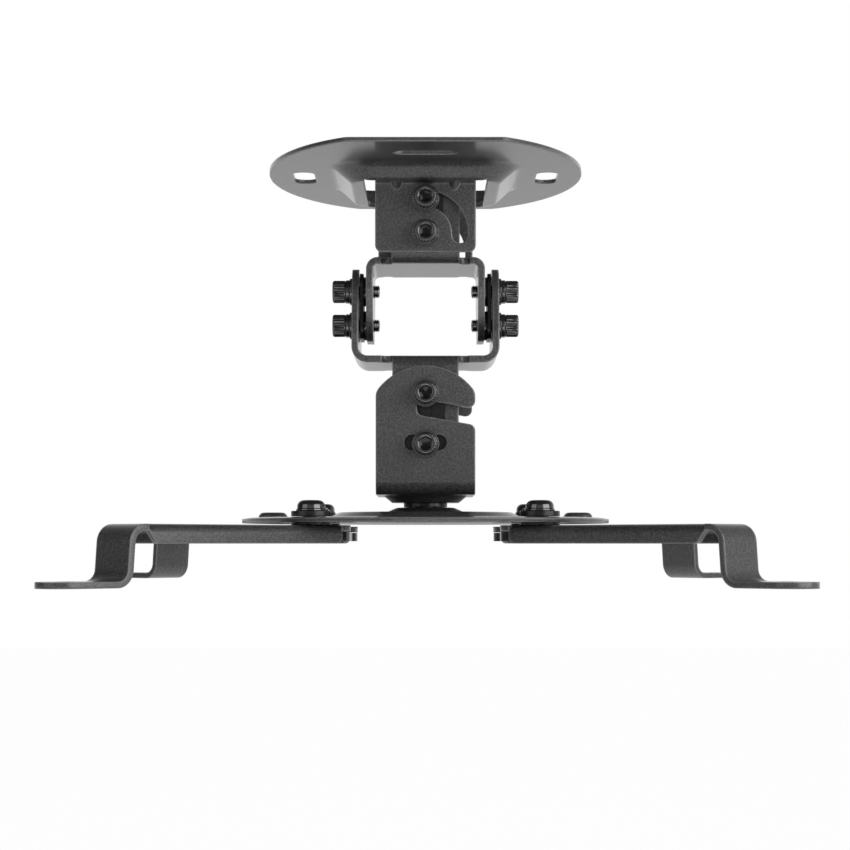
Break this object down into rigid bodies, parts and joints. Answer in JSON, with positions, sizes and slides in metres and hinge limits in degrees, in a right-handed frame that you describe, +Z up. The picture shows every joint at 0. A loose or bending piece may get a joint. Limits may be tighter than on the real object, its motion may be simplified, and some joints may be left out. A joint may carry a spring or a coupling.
{
  "type": "projector ceiling mount",
  "caption": "Ceiling mount for a projector: slotted oval plate, folded yokes that pitch and roll, a hooked tilt bracket, a turning spider plate and clamped, sliding arms.",
  "frame": {"origin": "middle of the face that lies on the ceiling, on the mount's vertical axis", "axes": "+Z up to the ceiling, +X to the side on which the hooks open, +Y from front to rear"},
  "size_m": [0.2646, 0.2469, 0.1539],
  "materials": {
    "powder_coat": "satin charcoal powder coat with a fine texture",
    "black_steel": "glossy black oxide",
    "black_nylon": "matt black"
  },
  "bodies": {
    "ceiling": {"ceiling_plate": "powder_coat"},
    "upper_yoke": {"upper_yoke": "powder_coat", "lug_flat_washers": "black_steel", "lug_spring_washers": "black_steel", "side_flat_washers": "black_steel", "side_spring_washers": "black_steel", "side_spacer_left": "black_nylon", "side_spacer_right": "black_nylon", "side_spacer_washers": "black_steel", "lug_spacer_front": "black_nylon", "lug_spacer_rear": "black_nylon", "lug_lock_screw_front": "black_steel", "lug_lock_screw_rear": "black_steel", "lug_pivot_screw_front": "black_steel", "lug_pivot_screw_rear": "black_steel", "side_lock_screw_left": "black_steel", "side_lock_screw_right": "black_steel", "side_pivot_screw_left": "black_steel", "side_pivot_screw_right": "black_steel"},
    "lower_yoke": {"lower_yoke": "powder_coat", "hook_flat_washers": "black_steel", "hook_spring_washers": "black_steel", "hook_spacer_front": "black_nylon", "hook_spacer_rear": "black_nylon", "hook_screw_front": "black_steel", "hook_screw_rear": "black_steel", "tilt_lock_screw_front": "black_steel", "tilt_lock_screw_rear": "black_steel"},
    "bracket": {"swivel_bracket": "powder_coat", "swivel_bolt": "black_steel", "swivel_head_washer": "black_steel", "swivel_neck_spacer": "black_nylon", "swivel_nut": "black_steel", "swivel_nut_washer": "black_steel"},
    "spider": {"spider_plate": "powder_coat"},
    "clamp_front_left": {"clamp_nut_front_left": "black_steel", "clamp_pad_front_left": "black_nylon", "clamp_screw_front_left": "black_steel", "clamp_spacer_front_left": "black_nylon", "clamp_washer_front_left": "black_steel"},
    "arm_front_left": {"arm_front_left": "powder_coat"},
    "clamp_front_right": {"clamp_nut_front_right": "black_steel", "clamp_pad_front_right": "black_nylon", "clamp_screw_front_right": "black_steel", "clamp_spacer_front_right": "black_nylon", "clamp_washer_front_right": "black_steel"},
    "arm_front_right": {"arm_front_right": "powder_coat"},
    "clamp_rear_left": {"clamp_nut_rear_left": "black_steel", "clamp_pad_rear_left": "black_nylon", "clamp_screw_rear_left": "black_steel", "clamp_spacer_rear_left": "black_nylon", "clamp_washer_rear_left": "black_steel"},
    "arm_rear_left": {"arm_rear_left": "powder_coat"},
    "clamp_rear_right": {"clamp_nut_rear_right": "black_steel", "clamp_pad_rear_right": "black_nylon", "clamp_screw_rear_right": "black_steel", "clamp_spacer_rear_right": "black_nylon", "clamp_washer_rear_right": "black_steel"},
    "arm_rear_right": {"arm_rear_right": "powder_coat"}
  },
  "joints": [
    {"name": "pitch", "type": "hinge", "parent": "ceiling", "child": "upper_yoke", "pos_m": [0, 0, -0.0263], "axis": [0, 1, 0], "range_deg": [0, 50]},
    {"name": "roll", "type": "hinge", "parent": "upper_yoke", "child": "lower_yoke", "pos_m": [0, 0, -0.0444], "axis": [1, 0, 0], "range_deg": [-15, 15]},
    {"name": "tilt", "type": "hinge", "parent": "lower_yoke", "child": "bracket", "pos_m": [0, 0, -0.0846], "axis": [0, 1, 0], "range_deg": [-15, 15]},
    {"name": "swivel", "type": "hinge", "parent": "bracket", "child": "spider", "pos_m": [0, 0, -0.1297], "axis": [0, 0, 1], "continuous": true},
    {"name": "swing_front_left", "type": "hinge", "parent": "spider", "child": "clamp_front_left", "pos_m": [-0.04101, -0.04101, -0.1312], "axis": [0, 0, 1], "range_deg": [-20, 20]},
    {"name": "slide_front_left", "type": "slide", "parent": "clamp_front_left", "child": "arm_front_left", "axis": [-0.7071, -0.7071, 0], "range_m": [-0.025, 0.008]},
    {"name": "swing_front_right", "type": "hinge", "parent": "spider", "child": "clamp_front_right", "pos_m": [0.04101, -0.04101, -0.1312], "axis": [0, 0, 1], "range_deg": [-20, 20]},
    {"name": "slide_front_right", "type": "slide", "parent": "clamp_front_right", "child": "arm_front_right", "axis": [0.7193, -0.6947, 0], "range_m": [-0.025, 0.008]},
    {"name": "swing_rear_left", "type": "hinge", "parent": "spider", "child": "clamp_rear_left", "pos_m": [-0.04101, 0.04101, -0.1312], "axis": [0, 0, 1], "range_deg": [-20, 20]},
    {"name": "slide_rear_left", "type": "slide", "parent": "clamp_rear_left", "child": "arm_rear_left", "axis": [-0.7604, 0.6494, 0], "range_m": [-0.025, 0.008]},
    {"name": "swing_rear_right", "type": "hinge", "parent": "spider", "child": "clamp_rear_right", "pos_m": [0.04101, 0.04101, -0.1312], "axis": [0, 0, 1], "range_deg": [-20, 20]},
    {"name": "slide_rear_right", "type": "slide", "parent": "clamp_rear_right", "child": "arm_rear_right", "axis": [0.7604, 0.6494, 0], "range_m": [-0.025, 0.008]}
  ]
}
